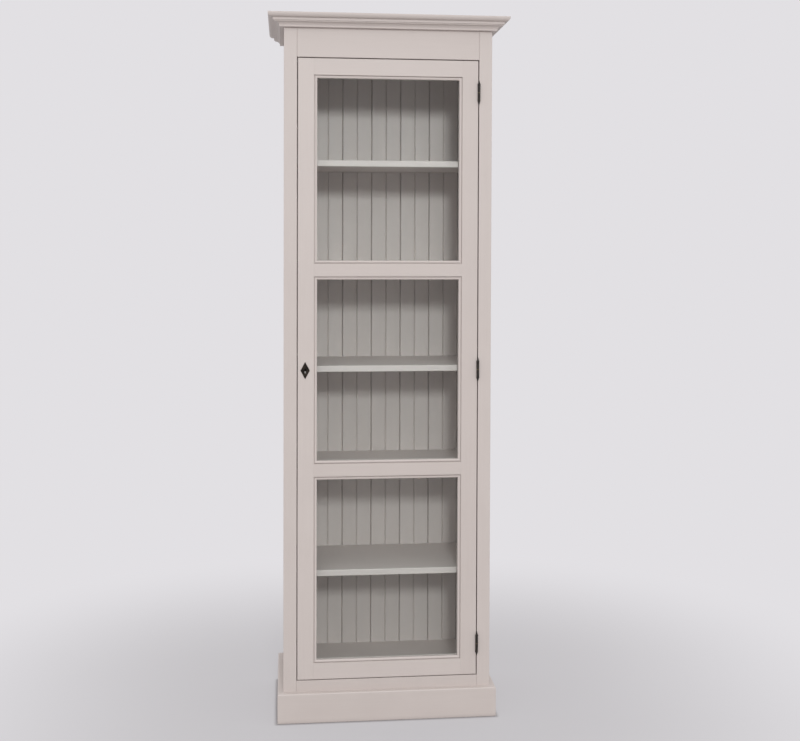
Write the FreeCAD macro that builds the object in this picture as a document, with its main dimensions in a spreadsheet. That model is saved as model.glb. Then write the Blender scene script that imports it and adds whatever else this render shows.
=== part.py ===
import FreeCAD, Part
import math
import os
import types

import Sketcher

# A tall free-standing display cabinet with one glazed door.
# Frame: +X to the right, +Y to the back, +Z up, origin under the middle of the whole box.

# Driving dimensions in millimetres
SIZES = {
    # Whole cabinet, without the mouldings
    "height": 1900.0,
    "body_width": 562.0,
    "body_depth": 300.0,
    # Carcass boards
    "side_thick": 18.0,
    "board_thick": 18.0,
    "lining_thick": 14.0,
    "lining_lap": 9.0,
    "lining_foot": 30.0,
    "tongue_thick": 4.0,
    "tongue_reach": 5.0,
    "tongue_lip": 1.5,
    "tongue_clearance": 0.2,
    "vee_half_width": 1.8,
    "vee_depth": 4.0,
    # Face frame
    "frame_thick": 22.0,
    "post_width": 35.0,
    "frieze_height": 112.0,
    "sill_height": 110.0,
    "rail_lift": 10.0,
    "stop_thick": 16.0,
    "stop_grip": 22.0,
    "stop_lap": 12.0,
    "stop_clearance": 0.5,
    # Plinth
    "plinth_height": 80.0,
    "plinth_reach": 15.5,
    "plinth_ease": 3.0,
    # Cornice profile, from its foot upwards and outwards
    "foot_reach": 12.0,
    "foot_height": 4.0,
    "cove_reach": 11.5,
    "cove_height": 8.2,
    "bead_reach": 2.0,
    "bead_height": 2.4,
    "fillet_reach": 3.5,
    "fillet_drip": 0.4,
    "fillet_height": 6.8,
    "nosing_step": 7.5,
    "nosing_drip": 0.6,
    "nosing_reach": 6.0,
    "nosing_height": 9.6,
    "cap_height": 2.0,
    # Shelves and their cleats
    "first_shelf": 400.0,
    "shelf_pitch": 279.0,
    "shelf_thick": 17.0,
    "shelf_setback": 10.0,
    "shelf_ease": 2.0,
    "shelf_clearance": 1.0,
    "cleat_width": 14.0,
    "cleat_height": 18.0,
    "cleat_setback": 6.0,
    "cleat_bevel": 8.0,
    # Door
    "door_gap": 2.5,
    "stile_width": 51.5,
    "end_rail_width": 52.5,
    "mid_rail_width": 51.0,
    "quirk_width": 2.6,
    "quirk_depth": 4.0,
    "ovolo_width": 5.6,
    "ovolo_drop": 1.0,
    "ovolo_depth": 5.5,
    "sash_nose": 3.5,
    "rebate_lap": 7.0,
    "glass_thick": 4.0,
    "glass_clearance": 1.0,
    "bead_bevel": 3.0,
    # Hinges
    "hinge_inset": 86.0,
    "hinge_length": 46.0,
    "knuckle_radius": 3.7,
    "collar_radius": 4.0,
    "collar_height": 2.5,
    "knuckle_air": 0.4,
    "hinge_pin_radius": 2.4,
    "hinge_pin_reach": 18.0,
    "pin_clearance": 0.05,
    "washer_thick": 1.0,
    "finial_length": 9.5,
    "finial_neck": 3.6,
    "finial_tip": 0.7,
    "leaf_thick": 1.5,
    "leaf_depth": 19.0,
    "leaf_clearance": 0.3,
    # Escutcheon and keyhole
    "keyhole_backset": 20.0,
    "escutcheon_width": 25.0,
    "escutcheon_height": 46.5,
    "escutcheon_thick": 2.2,
    "escutcheon_rim": 3.0,
    "escutcheon_dish": 0.9,
    "escutcheon_drop": 4.5,
    "keyhole_radius": 3.6,
    "keyhole_slot": 3.4,
    "keyhole_rise": 9.5,
    # Lock
    "case_width": 38.0,
    "case_height": 64.0,
    "case_thick": 8.0,
    "case_inset": 1.0,
    "drill_pin_radius": 2.3,
    "drill_pin_recess": 2.5,
    "bolt_length": 28.0,
    "bolt_height": 16.0,
    "bolt_thick": 4.0,
    "bolt_clearance": 0.3,
    "talon_radius": 4.0,
    "strike_width": 16.0,
    "strike_height": 44.0,
    "strike_thick": 1.5,
    # Every cut runs this far past the faces that it opens
    "overrun": 2.0,
}

# Widths of the lining boards from left to right, as shares of a whole board
board_shares = [0.906, 1.0, 1.0, 1.0, 1.0, 1.0, 0.483]
# A centre V lies half a whole board from a board's right-hand joint
centre_vee_share = 0.5
# The outer faces of the escutcheon lean in by this angle, in degrees
escutcheon_lean = 24.0
shelf_count = 5

doc = FreeCAD.newDocument("display_cabinet")
sheet = doc.addObject("Spreadsheet::Sheet", "Sheet")
for row, (alias, value) in enumerate(SIZES.items(), start=1):
    sheet.set("A%d" % row, alias)
    sheet.set("B%d" % row, str(value))
    sheet.setAlias("B%d" % row, alias)
doc.recompute()


class Size:
    """A length held as a number and as the sheet expression that it is bound to."""

    def __init__(self, text, value):
        self.text = text
        self.value = value

    def __add__(self, other):
        other = as_size(other)
        return Size("(%s + %s)" % (self.text, other.text), self.value + other.value)

    def __sub__(self, other):
        other = as_size(other)
        return Size("(%s - %s)" % (self.text, other.text), self.value - other.value)

    def __mul__(self, other):
        other = as_size(other)
        return Size("(%s * %s)" % (self.text, other.text), self.value * other.value)

    def __truediv__(self, other):
        other = as_size(other)
        return Size("(%s / %s)" % (self.text, other.text), self.value / other.value)

    def __neg__(self):
        return Size("(0 - %s)" % self.text, -self.value)

    def __radd__(self, other):
        return as_size(other) + self

    def __rsub__(self, other):
        return as_size(other) - self

    def __rmul__(self, other):
        return as_size(other) * self


def as_size(thing):
    """A plain number counts as a size with no cell of its own."""
    return thing if isinstance(thing, Size) else Size(repr(float(thing)), float(thing))


dim = types.SimpleNamespace(**{alias: Size("Sheet." + alias, float(sheet.get(alias))) for alias in SIZES})
nodes = []

# Turns that lay a piece drawn along +Z, or a length drawn along +X, into its place
UPRIGHT = FreeCAD.Rotation()
TO_BACK = FreeCAD.Rotation(FreeCAD.Vector(1, 0, 0), -90)


def bind(thing, path, size):
    thing.setExpression(path, as_size(size).text)


def place(thing, at, turn=UPRIGHT):
    """Sets the turn and binds the three coordinates of the place."""
    thing.Placement = FreeCAD.Placement(FreeCAD.Vector(), turn)
    for axis, size in zip("xyz", at):
        bind(thing, "Placement.Base." + axis, size)


def keep(thing, label):
    """Names a finished sub-part and puts it on the list of files."""
    thing.Label = label
    nodes.append(thing)
    return thing


def block(label, at, extent):
    box = doc.addObject("Part::Box", label)
    for path, size in zip(("Length", "Width", "Height"), extent):
        bind(box, path, size)
    place(box, at)
    return box


def rod(label, at, radius, length, turn=UPRIGHT):
    cylinder = doc.addObject("Part::Cylinder", label)
    bind(cylinder, "Radius", radius)
    bind(cylinder, "Height", length)
    place(cylinder, at, turn)
    return cylinder


def fuse(label, shapes):
    joined = doc.addObject("Part::MultiFuse", label)
    joined.Shapes = shapes
    return joined


def group(label, shapes):
    together = doc.addObject("Part::Compound", label)
    together.Links = shapes
    return together


def cut(label, base, tools):
    remainder = doc.addObject("Part::Cut", label)
    remainder.Base = base
    remainder.Tool = tools[0] if len(tools) == 1 else fuse(label + "_cutter", tools)
    return remainder


def arc_edge(start, end, radius):
    """The shorter arc between two points, its centre to the left of the way for a positive radius."""
    way = end - start
    middle = (start + end) * 0.5
    rise = math.sqrt(max(radius * radius - way.Length ** 2 / 4, 0.0))
    left = FreeCAD.Vector(-way.y, way.x, 0) / way.Length
    centre = middle + left * math.copysign(rise, radius)
    circle = Part.Circle(centre, FreeCAD.Vector(0, 0, 1), abs(radius))
    first, last = (start, end) if radius > 0 else (end, start)
    angles = [math.atan2(point.y - centre.y, point.x - centre.x) for point in (first, last)]
    return Part.ArcOfCircle(circle, *angles)


def loop(sketch, corners):
    """One closed loop of pinned corners; a third item is the radius of the arc that arrives there."""
    points = [FreeCAD.Vector(as_size(c[0]).value, as_size(c[1]).value, 0) for c in corners]
    edges = []
    for index, corner in enumerate(corners):
        start, end = points[index - 1], points[index]
        if len(corner) == 3:
            radius = corner[2]
            edge = sketch.addGeometry(arc_edge(start, end, radius.value), False)
            edges.append((edge, 1, 2) if radius.value > 0 else (edge, 2, 1))
            size = radius if radius.value > 0 else -radius
            pinned = sketch.addConstraint(Sketcher.Constraint("Radius", edge, size.value))
            bind(sketch, "Constraints[%d]" % pinned, size)
        else:
            edges.append((sketch.addGeometry(Part.LineSegment(start, end), False), 1, 2))
    for index, corner in enumerate(corners):
        edge, _, last = edges[index]
        following, first, _ = edges[(index + 1) % len(edges)]
        sketch.addConstraint(Sketcher.Constraint("Coincident", edge, last, following, first))
        for kind, size in zip(("DistanceX", "DistanceY"), map(as_size, corner[:2])):
            pinned = sketch.addConstraint(Sketcher.Constraint(kind, -1, 1, edge, last, size.value))
            bind(sketch, "Constraints[%d]" % pinned, size)


def outline(body, name, role, loops, offset=None):
    """A sketch on one of the body's own planes, moved along that plane's normal by the offset."""
    sketch = body.newObject("Sketcher::SketchObject", name)
    plane = next(plane for plane in body.Origin.OriginFeatures if plane.Role == role)
    sketch.AttachmentSupport = [(plane, "")]
    sketch.MapMode = "FlatFace"
    if offset is not None:
        bind(sketch, "AttachmentOffset.Base.z", offset)
    for corners in loops:
        loop(sketch, corners)
    return sketch


def pad(body, sketch, length, backwards=False):
    feature = body.newObject("PartDesign::Pad", sketch.Name + "_pad")
    feature.Profile = sketch
    bind(feature, "Length", length)
    feature.Reversed = backwards
    return feature


def turned(body, sketch):
    """A full turn of the outline about the sketch's upright axis."""
    feature = body.newObject("PartDesign::Revolution", sketch.Name + "_turned")
    feature.Profile = sketch
    feature.ReferenceAxis = (sketch, ["V_Axis"])
    feature.Angle = 360
    return feature


def extrusion(label, role, corners, length, backwards=False):
    """A body of one profile carried along the normal of one plane."""
    body = doc.addObject("PartDesign::Body", label)
    pad(body, outline(body, label + "_profile", role, [corners]), length, backwards)
    return body


def mitred(label, corners, length, reach, at_start, at_end):
    """A moulding along +X whose far side is at y = -reach, cut at 45 degrees towards its near side."""
    body = extrusion(label, "YZ_Plane", corners, length)
    waste = []
    if at_start:
        waste.append([(0, -reach), (reach, 0), (0, 0)])
    if at_end:
        waste.append([(length, -reach), (length - reach, 0), (length, 0)])
    pocket = body.newObject("PartDesign::Pocket", label + "_mitre")
    pocket.Profile = outline(body, label + "_waste", "XY_Plane", waste)
    pocket.Type = "ThroughAll"
    pocket.SideType = "Symmetric"
    return body


def tangent_radius(along, across):
    """Radius of the arc that leaves in the direction of along and ends at (along, across)."""
    return (along * along + across * across) / (2 * across)


# Derived places that several pieces share
half_body = dim.body_width / 2
cove_reach = dim.foot_reach + dim.cove_reach
fillet_reach = cove_reach + dim.bead_reach + dim.fillet_reach
cornice_reach = fillet_reach + dim.nosing_step + dim.nosing_reach
cove_top = dim.foot_height + dim.cove_height
fillet_foot = cove_top + dim.bead_height + dim.fillet_drip
nosing_foot = fillet_foot + dim.fillet_height + dim.nosing_drip
cornice_height = nosing_foot + dim.nosing_height + dim.cap_height
front = (cornice_reach - dim.body_depth) / 2
back = front + dim.body_depth
frame_back = front + dim.frame_thick
lining_face = back - dim.lining_thick
carcass_top = dim.height - dim.board_thick
opening_half = half_body - dim.post_width
opening_top = dim.height - dim.frieze_height
inner_half = half_body - dim.side_thick
door_half = opening_half - dim.door_gap
door_foot = dim.sill_height + dim.door_gap
door_head = opening_top - dim.door_gap
door_height = door_head - door_foot
door_middle = door_foot + door_height / 2
door_thick = dim.frame_thick - dim.stop_clearance
door_back = front + door_thick
mould_width = dim.quirk_width + dim.ovolo_width
glass_seat = dim.ovolo_drop + dim.ovolo_depth + dim.sash_nose
shelf_front = frame_back + dim.shelf_setback
shelf_back = lining_face - dim.shelf_clearance
shelf_tops = [dim.first_shelf + step * dim.shelf_pitch for step in range(shelf_count)]
hinge_stand = dim.collar_radius + dim.knuckle_air
hinge_axis_x = opening_half - dim.door_gap / 2
hinge_axis_y = front - hinge_stand
hinge_heights = {
    "top": door_head - dim.hinge_inset,
    "middle": door_middle,
    "bottom": door_foot + dim.hinge_inset,
}
leaf_recess = dim.leaf_thick - (dim.door_gap - dim.leaf_clearance) / 2
leaf_face_x = dim.leaf_clearance / 2
keyhole_x = dim.keyhole_backset - door_half
keyhole_z = door_middle - dim.escutcheon_drop


# Side panels: full height, rebated at the back for the lining
def side_panel(label, hand):
    depth = dim.body_depth - dim.frame_thick
    thick, ledge = dim.side_thick * hand, (dim.side_thick - dim.lining_lap) * hand
    corners = [(0, 0), (thick, 0), (thick, depth - dim.lining_thick)]
    corners += [(ledge, depth - dim.lining_thick), (ledge, depth), (0, depth)]
    panel = extrusion(label, "XY_Plane", corners, carcass_top)
    place(panel, (-half_body * hand, frame_back, 0))
    keep(panel, label)


side_panel("left_side_panel", 1)
side_panel("right_side_panel", -1)

# Top and bottom boards
keep(
    block("top_board", (-half_body, front, carcass_top), (dim.body_width, dim.body_depth, dim.board_thick)),
    "top_board",
)
keep(
    block(
        "bottom_board",
        (-inner_half, frame_back, dim.sill_height - dim.board_thick),
        (inner_half * 2, lining_face - frame_back, dim.board_thick),
    ),
    "bottom_board",
)

# Face frame: two posts, a frieze rail over the door and a lower rail under it
post_extent = (dim.post_width, dim.frame_thick, carcass_top)


def leaf_seats(name, hand):
    """Shallow seats for the three hinge leaves, open to the front and to the gap beside the door."""
    seats = []
    for which, height in hinge_heights.items():
        inner = hinge_axis_x + (leaf_face_x + dim.leaf_thick) * hand
        face = hinge_axis_x + hand * dim.door_gap / 2 - hand * dim.overrun
        low = face if hand > 0 else inner
        extent = (leaf_recess + dim.overrun, dim.leaf_depth + dim.overrun, dim.hinge_length)
        at = (low, front - dim.overrun, height - dim.hinge_length / 2)
        seats.append(block("%s_%s_seat" % (name, which), at, extent))
    return seats


keep(block("left_post", (-half_body, front, 0), post_extent), "left_post")
right_blank = block("right_post_blank", (opening_half, front, 0), post_extent)
keep(cut("right_post", right_blank, leaf_seats("right_post", 1)), "right_post")
keep(
    block(
        "frieze_rail",
        (-opening_half, front, opening_top),
        (opening_half * 2, dim.frame_thick, carcass_top - opening_top),
    ),
    "frieze_rail",
)
keep(
    block(
        "lower_rail",
        (-opening_half, front, dim.rail_lift),
        (opening_half * 2, dim.frame_thick, dim.sill_height - dim.rail_lift),
    ),
    "lower_rail",
)
keep(
    block(
        "door_stop",
        (-opening_half, frame_back, opening_top - dim.stop_lap),
        (opening_half * 2, dim.stop_thick, dim.stop_grip + dim.stop_lap),
    ),
    "door_stop",
)

# Back lining: upright boards with tongues, V joints and a sham V down the middle
lining_half = half_body - dim.side_thick + dim.lining_lap
whole_board = lining_half * 2 / sum(board_shares)
lining_low = dim.sill_height - dim.board_thick - dim.lining_foot


def lining_board(number, left, share):
    """Profile with x along the wall and y to the back, walked from the front left corner."""
    width, thick = whole_board * share, dim.lining_thick
    vee, deep = dim.vee_half_width, dim.vee_depth
    first, last = number == 1, number == len(board_shares)
    tongue_front = deep + dim.tongue_lip
    tongue_back = tongue_front + dim.tongue_thick
    slack = dim.tongue_clearance
    corners = [(0, 0)] if first else [(0, deep), (vee, 0)]
    if share > centre_vee_share:
        middle = width - whole_board * centre_vee_share
        corners += [(middle - vee, 0), (middle, deep), (middle + vee, 0)]
    if last:
        corners += [(width, 0), (width, thick)]
    else:
        tip = width + dim.tongue_reach
        corners += [(width - vee, 0), (width, deep), (width, tongue_front), (tip, tongue_front)]
        corners += [(tip, tongue_back), (width, tongue_back), (width, thick)]
    corners += [(0, thick)]
    if not first:
        depth = dim.tongue_reach + slack
        corners += [(0, tongue_back + slack), (depth, tongue_back + slack)]
        corners += [(depth, tongue_front - slack), (0, tongue_front - slack)]
    label = "back_board_%d" % number
    board = extrusion(label, "XY_Plane", corners, carcass_top - lining_low)
    place(board, (left, lining_face, lining_low))
    keep(board, label)


board_left = -lining_half
for number, share in enumerate(board_shares, start=1):
    lining_board(number, board_left, share)
    board_left = board_left + whole_board * share


# Mouldings that go round the front and both sides, mitred at the two front corners
def wrapped_moulding(name, corners, reach, foot):
    across = dim.body_width + reach * 2
    along = dim.body_depth + reach
    facing = mitred(name + "_front", corners, across, reach, True, True)
    place(facing, (-half_body - reach, front, foot))
    keep(facing, name + "_front")
    left = mitred(name + "_left", corners, along, reach, False, True)
    place(left, (-half_body, back, foot), FreeCAD.Rotation(FreeCAD.Vector(0, 0, 1), -90))
    keep(left, name + "_left")
    right = mitred(name + "_right", corners, along, reach, True, False)
    place(right, (half_body, front - reach, foot), FreeCAD.Rotation(FreeCAD.Vector(0, 0, 1), 90))
    keep(right, name + "_right")


# Plinth: a plain board with an eased top edge
def plinth():
    reach, height, ease = dim.plinth_reach, dim.plinth_height, dim.plinth_ease
    corners = [(0, 0), (-reach, 0), (-reach, height - ease), (ease - reach, height, -ease), (0, height)]
    wrapped_moulding("plinth", corners, reach, 0)


# Cornice: foot, cove, small bead, fillet and an overhanging nosing, its top level with the top board
def cornice():
    bead = cove_reach + dim.bead_reach
    corners = [
        (0, 0),
        (-dim.foot_reach, 0),
        (-dim.foot_reach, dim.foot_height),
        (-cove_reach, cove_top, tangent_radius(dim.cove_reach, dim.cove_height)),
        (-bead, cove_top),
        (-bead, cove_top + dim.bead_height),
        (-fillet_reach, fillet_foot),
        (-fillet_reach, fillet_foot + dim.fillet_height),
        (-fillet_reach - dim.nosing_step, nosing_foot),
        (
            -cornice_reach,
            nosing_foot + dim.nosing_height,
            -tangent_radius(dim.nosing_height, dim.nosing_reach),
        ),
        (-cornice_reach, cornice_height),
        (0, cornice_height),
    ]
    wrapped_moulding("cornice", corners, cornice_reach, dim.height - cornice_height)


plinth()
cornice()


# Shelves: loose boards with an eased front edge, each on two cleats fixed to the side panels
def shelf(number, top):
    depth, thick, ease = shelf_back - shelf_front, dim.shelf_thick, dim.shelf_ease
    half = inner_half - dim.shelf_clearance
    corners = [(depth, 0), (ease, 0), (0, -ease, ease)]
    corners += [(0, ease - thick), (ease, -thick, ease), (depth, -thick)]
    label = "shelf_%d" % number
    board = extrusion(label, "YZ_Plane", corners, half * 2)
    place(board, (-half, shelf_front, top))
    keep(board, label)


def cleat(label, hand, top):
    """A batten with its lower front corner cut away, so that it stays out of sight."""
    depth = shelf_back - shelf_front - dim.cleat_setback
    low, bevel = -dim.cleat_height, dim.cleat_bevel
    corners = [(0, 0), (0, bevel + low), (bevel, low), (depth, low), (depth, 0)]
    batten = extrusion(label, "YZ_Plane", corners, dim.cleat_width, hand > 0)
    place(batten, (inner_half * hand, shelf_front + dim.cleat_setback, top - dim.shelf_thick))
    return batten


cleats = []
for number, top in enumerate(reversed(shelf_tops), start=1):
    shelf(number, top)
    cleats.append(cleat("left_cleat_%d" % number, -1, top))
    cleats.append(cleat("right_cleat_%d" % number, 1, top))
keep(group("shelf_cleats", cleats), "shelf_cleats")


# Lift-off hinges: the frame leaf carries the pin and the lower knuckle, the door leaf the upper one
def hinge_leaf(label, height, hand, knuckle, face_corners):
    """Turned knuckle with its finial, and a flat leaf that grows out of the knuckle's wall."""
    body = doc.addObject("PartDesign::Body", label)
    turned(body, outline(body, label + "_knuckle", "XZ_Plane", [knuckle]))
    flat = outline(body, label + "_flat", "YZ_Plane", [face_corners], leaf_face_x * hand)
    pad(body, flat, dim.leaf_thick, hand < 0)
    place(body, (hinge_axis_x, hinge_axis_y, height))
    keep(body, label)


def hinge(which, height):
    half, seat, pin = dim.hinge_length / 2, dim.washer_thick / 2, dim.hinge_pin_radius
    radius, neck, tip = dim.knuckle_radius, dim.finial_neck, dim.finial_tip
    end = half + dim.finial_length
    root = (radius + pin) / 2
    far = hinge_stand + dim.leaf_depth
    bore, bore_end = pin + dim.pin_clearance, dim.hinge_pin_reach + dim.pin_clearance
    collar, shoulder = dim.collar_radius, half - dim.collar_height
    frame_knuckle = [(0, -end), (tip, -end), (neck, -half), (collar, -half), (collar, -shoulder)]
    frame_knuckle += [(radius, -shoulder), (radius, -seat), (pin, -seat)]
    frame_knuckle += [(pin, dim.hinge_pin_reach), (0, dim.hinge_pin_reach)]
    frame_flat = [(root, -half), (far, -half), (far, half)]
    frame_flat += [(hinge_stand, half), (hinge_stand, -seat), (root, -seat)]
    hinge_leaf("hinge_%s_frame_leaf" % which, height, 1, frame_knuckle, frame_flat)
    door_knuckle = [(bore, seat), (radius, seat), (radius, shoulder), (collar, shoulder), (collar, half)]
    door_knuckle += [(neck, half), (tip, end), (0, end), (0, bore_end), (bore, bore_end)]
    door_flat = [(root, seat), (hinge_stand, seat), (hinge_stand, -half)]
    door_flat += [(far, -half), (far, half), (root, half)]
    hinge_leaf("hinge_%s_door_leaf" % which, height, -1, door_knuckle, door_flat)


def hinge_washer(label, height):
    low = height - dim.washer_thick / 2
    ring = rod(label + "_blank", (hinge_axis_x, hinge_axis_y, low), dim.knuckle_radius, dim.washer_thick)
    bore, length = dim.hinge_pin_radius + dim.pin_clearance, dim.washer_thick + dim.overrun * 2
    hole = rod(label + "_hole", (hinge_axis_x, hinge_axis_y, low - dim.overrun), bore, length)
    return cut(label, ring, [hole])


for which, height in hinge_heights.items():
    hinge(which, height)
washers = [hinge_washer("hinge_washer_%s" % which, height) for which, height in hinge_heights.items()]
keep(group("hinge_washers", washers), "hinge_washers")


# Door sash: every member has a quirk and an ovolo on the front and a glazing rebate behind
def moulded_edge(width, hand):
    """Points of one moulded edge from its front quirk to the back, as (across, depth, arc)."""
    face = width - mould_width
    start = face + dim.quirk_width
    ovolo_end = dim.ovolo_drop + dim.ovolo_depth
    radius = tangent_radius(dim.ovolo_width, dim.ovolo_depth)
    edge = [
        (face, 0),
        (face, dim.quirk_depth),
        (start, dim.quirk_depth),
        (start, dim.ovolo_drop),
        (width, ovolo_end, radius * hand),
        (width, glass_seat),
        (width - dim.rebate_lap, glass_seat),
        (width - dim.rebate_lap, door_thick),
    ]
    return edge


def stile_blank(label, hand):
    edge = [(corner[0] * hand,) + corner[1:] for corner in moulded_edge(dim.stile_width, hand)]
    blank = extrusion(label, "XY_Plane", [(0, 0)] + edge + [(0, door_thick)], door_height)
    place(blank, (-door_half * hand, front, door_foot))
    return blank


lock_blank = stile_blank("door_lock_stile_blank", 1)
hinge_blank = stile_blank("door_hinge_stile_blank", -1)


def keyhole(name, at_y, length):
    """A round hole for the key's barrel with a slot above it for the bit."""
    barrel = rod(name + "_barrel", (keyhole_x, at_y, keyhole_z), dim.keyhole_radius, length, TO_BACK)
    low = (keyhole_x - dim.keyhole_slot / 2, at_y, keyhole_z)
    slot = block(name + "_slot", low, (dim.keyhole_slot, length, dim.keyhole_rise))
    return [barrel, slot]


def stiles():
    hole = keyhole("stile_keyhole", front - dim.overrun, door_thick + dim.overrun * 2)
    keep(cut("door_lock_stile", lock_blank, hole), "door_lock_stile")
    keep(cut("door_hinge_stile", hinge_blank, leaf_seats("door_hinge_stile", -1)), "door_hinge_stile")


def rail(label, corners, at_z):
    """Profile with depth to the right and height up, scribed over both stiles."""
    length = (door_half - dim.stile_width + mould_width) * 2
    blank = extrusion(label + "_blank", "YZ_Plane", corners, length)
    place(blank, (-length / 2, front, at_z))
    keep(cut(label, blank, [lock_blank, hinge_blank]), label)


def end_rail(label, hand, at_z):
    """The moulded edge looks up on the bottom rail and down on the top rail."""
    edge = moulded_edge(dim.end_rail_width, -hand)
    turned_edge = [(depth, across * hand) + tuple(arc) for across, depth, *arc in edge]
    rail(label, [(0, 0)] + turned_edge + [(door_thick, 0)], at_z)


def mid_rail(label, at_z):
    """Both edges are moulded, so the profile is two half profiles back to back."""
    half = dim.mid_rail_width / 2
    upper = [(depth, across) + tuple(arc) for across, depth, *arc in moulded_edge(half, -1)]
    flipped = [(depth, -across) + tuple(arc) for across, depth, *arc in moulded_edge(half, -1)]
    lower = [flipped[-1]]
    for index in range(len(flipped) - 1, 0, -1):
        depth, across = flipped[index - 1][:2]
        arc = flipped[index][2:]
        lower.append((depth, across) + tuple(arc))
    rail(label, upper + lower, at_z)


sight_half = door_half - dim.stile_width
pane_height = (door_height - dim.end_rail_width * 2 - dim.mid_rail_width * 2) / 3
pane_pitch = pane_height + dim.mid_rail_width
pane_middles = {
    "bottom": door_foot + dim.end_rail_width + pane_height / 2,
    "middle": door_middle,
    "top": door_head - dim.end_rail_width - pane_height / 2,
}

stiles()
end_rail("door_bottom_rail", 1, door_foot)
end_rail("door_top_rail", -1, door_head)
mid_rail("door_lower_mid_rail", door_middle - pane_pitch / 2)
mid_rail("door_upper_mid_rail", door_middle + pane_pitch / 2)


# Glass and the mitred beads that hold it from behind
def glass_pane(label, middle):
    lap = dim.rebate_lap - dim.glass_clearance
    half, height = sight_half + lap, pane_height + lap * 2
    at = (-half, front + glass_seat, middle - height / 2)
    keep(block(label, at, (half * 2, dim.glass_thick, height)), label)


def glazing_beads(label, middle):
    """Four strips round the pane, each turned a quarter from the one before."""
    width, bevel = dim.rebate_lap, dim.bead_bevel
    depth = door_thick - glass_seat - dim.glass_thick
    corners = [(0, 0), (0, depth - bevel), (-bevel, depth), (-width, depth), (-width, 0)]
    across, upright = (sight_half + width) * 2, pane_height + width * 2
    low_y = front + glass_seat + dim.glass_thick
    places = [
        (across, (-across / 2, pane_height / 2)),
        (upright, (sight_half, upright / 2)),
        (across, (across / 2, -pane_height / 2)),
        (upright, (-sight_half, -upright / 2)),
    ]
    strips = []
    for quarter, (length, (x, z)) in enumerate(places):
        strip = mitred("%s_%d" % (label, quarter + 1), corners, length, width, True, True)
        turn = FreeCAD.Rotation(FreeCAD.Vector(0, 1, 0), 90 * quarter).multiply(TO_BACK)
        place(strip, (x, low_y, middle + z), turn)
        strips.append(strip)
    keep(group(label, strips), label)


for which, middle in pane_middles.items():
    glass_pane("glass_pane_" + which, middle)
    glazing_beads("glazing_beads_" + which, middle)


# Escutcheon: a lozenge plate with a raised rim, pierced by the keyhole
def lozenge(inset):
    """Corners of the lozenge, drawn in from its side corners by the inset."""
    half_width = dim.escutcheon_width / 2 - inset
    half_height = half_width * dim.escutcheon_height / dim.escutcheon_width
    return [(half_width, 0), (0, half_height), (-half_width, 0), (0, -half_height)]


def escutcheon():
    body = doc.addObject("PartDesign::Body", "escutcheon_body")
    plate = pad(body, outline(body, "escutcheon_plate", "XZ_Plane", [lozenge(0)]), dim.escutcheon_thick)
    plate.TaperAngle = -escutcheon_lean
    dish = body.newObject("PartDesign::Pocket", "escutcheon_dish")
    dish.Profile = outline(
        body, "escutcheon_dish_edge", "XZ_Plane", [lozenge(dim.escutcheon_rim)], dim.escutcheon_thick
    )
    bind(dish, "Length", dim.escutcheon_dish)
    place(body, (keyhole_x, front, door_middle))
    depth = dim.escutcheon_thick + dim.overrun
    hole = keyhole("escutcheon_keyhole", front - depth, depth + dim.overrun)
    keep(cut("escutcheon", body, hole), "escutcheon")


# Lock: a case screwed to the back of the stile, with a drill pin that looks out of the keyhole
lock_left = dim.case_inset - door_half
bolt_face = frame_back + dim.strike_thick + dim.bolt_clearance
bolt_low = keyhole_z - dim.bolt_height / 2


def lock_case():
    low = keyhole_z - dim.case_height / 2
    extent = (dim.case_width, dim.case_thick, dim.case_height)
    blank = block("lock_case_blank", (lock_left, door_back, low), extent)
    slack = dim.bolt_clearance
    channel = block(
        "lock_case_channel",
        (lock_left - dim.overrun, bolt_face - slack, bolt_low - slack),
        (dim.bolt_length + slack + dim.overrun, dim.bolt_thick + slack * 2, dim.bolt_height + slack * 2),
    )
    shell = cut("lock_case_shell", blank, [channel])
    pin_start = front + dim.drill_pin_recess
    pin_at, pin_length = (keyhole_x, pin_start, keyhole_z), door_back - pin_start
    drill_pin = rod("lock_drill_pin", pin_at, dim.drill_pin_radius, pin_length, TO_BACK)
    keep(fuse("lock_case", [shell, drill_pin]), "lock_case")


def lock_bolt():
    extent = (dim.bolt_length, dim.bolt_thick, dim.bolt_height)
    blank = block("lock_bolt_blank", (lock_left, bolt_face, bolt_low), extent)
    talon = rod(
        "lock_bolt_talon",
        (lock_left + dim.bolt_length / 2, bolt_face - dim.overrun, bolt_low),
        dim.talon_radius,
        dim.bolt_thick + dim.overrun * 2,
        TO_BACK,
    )
    keep(cut("lock_bolt", blank, [talon]), "lock_bolt")


def strike():
    at = (-opening_half - dim.strike_width, frame_back, keyhole_z - dim.strike_height / 2)
    extent = (dim.strike_width, dim.strike_thick, dim.strike_height)
    keep(block("strike_plate", at, extent), "strike_plate")


escutcheon()
lock_case()
lock_bolt()
strike()

# Nothing is written unless every object is sound and every pocket has taken something away
doc.recompute()
for thing in doc.Objects:
    if "Invalid" in thing.State or "Error" in thing.State:
        raise RuntimeError("%s did not compute: %s" % (thing.Label, thing.State))
    if thing.TypeId == "PartDesign::Pocket" and thing.Shape.Volume >= thing.BaseFeature.Shape.Volume:
        raise RuntimeError("%s cuts nothing" % thing.Label)
for node in nodes:
    if node.Shape.isNull() or not node.Shape.isValid():
        raise RuntimeError("%s has no sound shape" % node.Label)

os.makedirs("parts", exist_ok=True)
for node in nodes:
    node.Shape.exportStep("parts/%s.step" % node.Label)
print("%d sub-parts, %d solids" % (len(nodes), sum(len(node.Shape.Solids) for node in nodes)))
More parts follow.
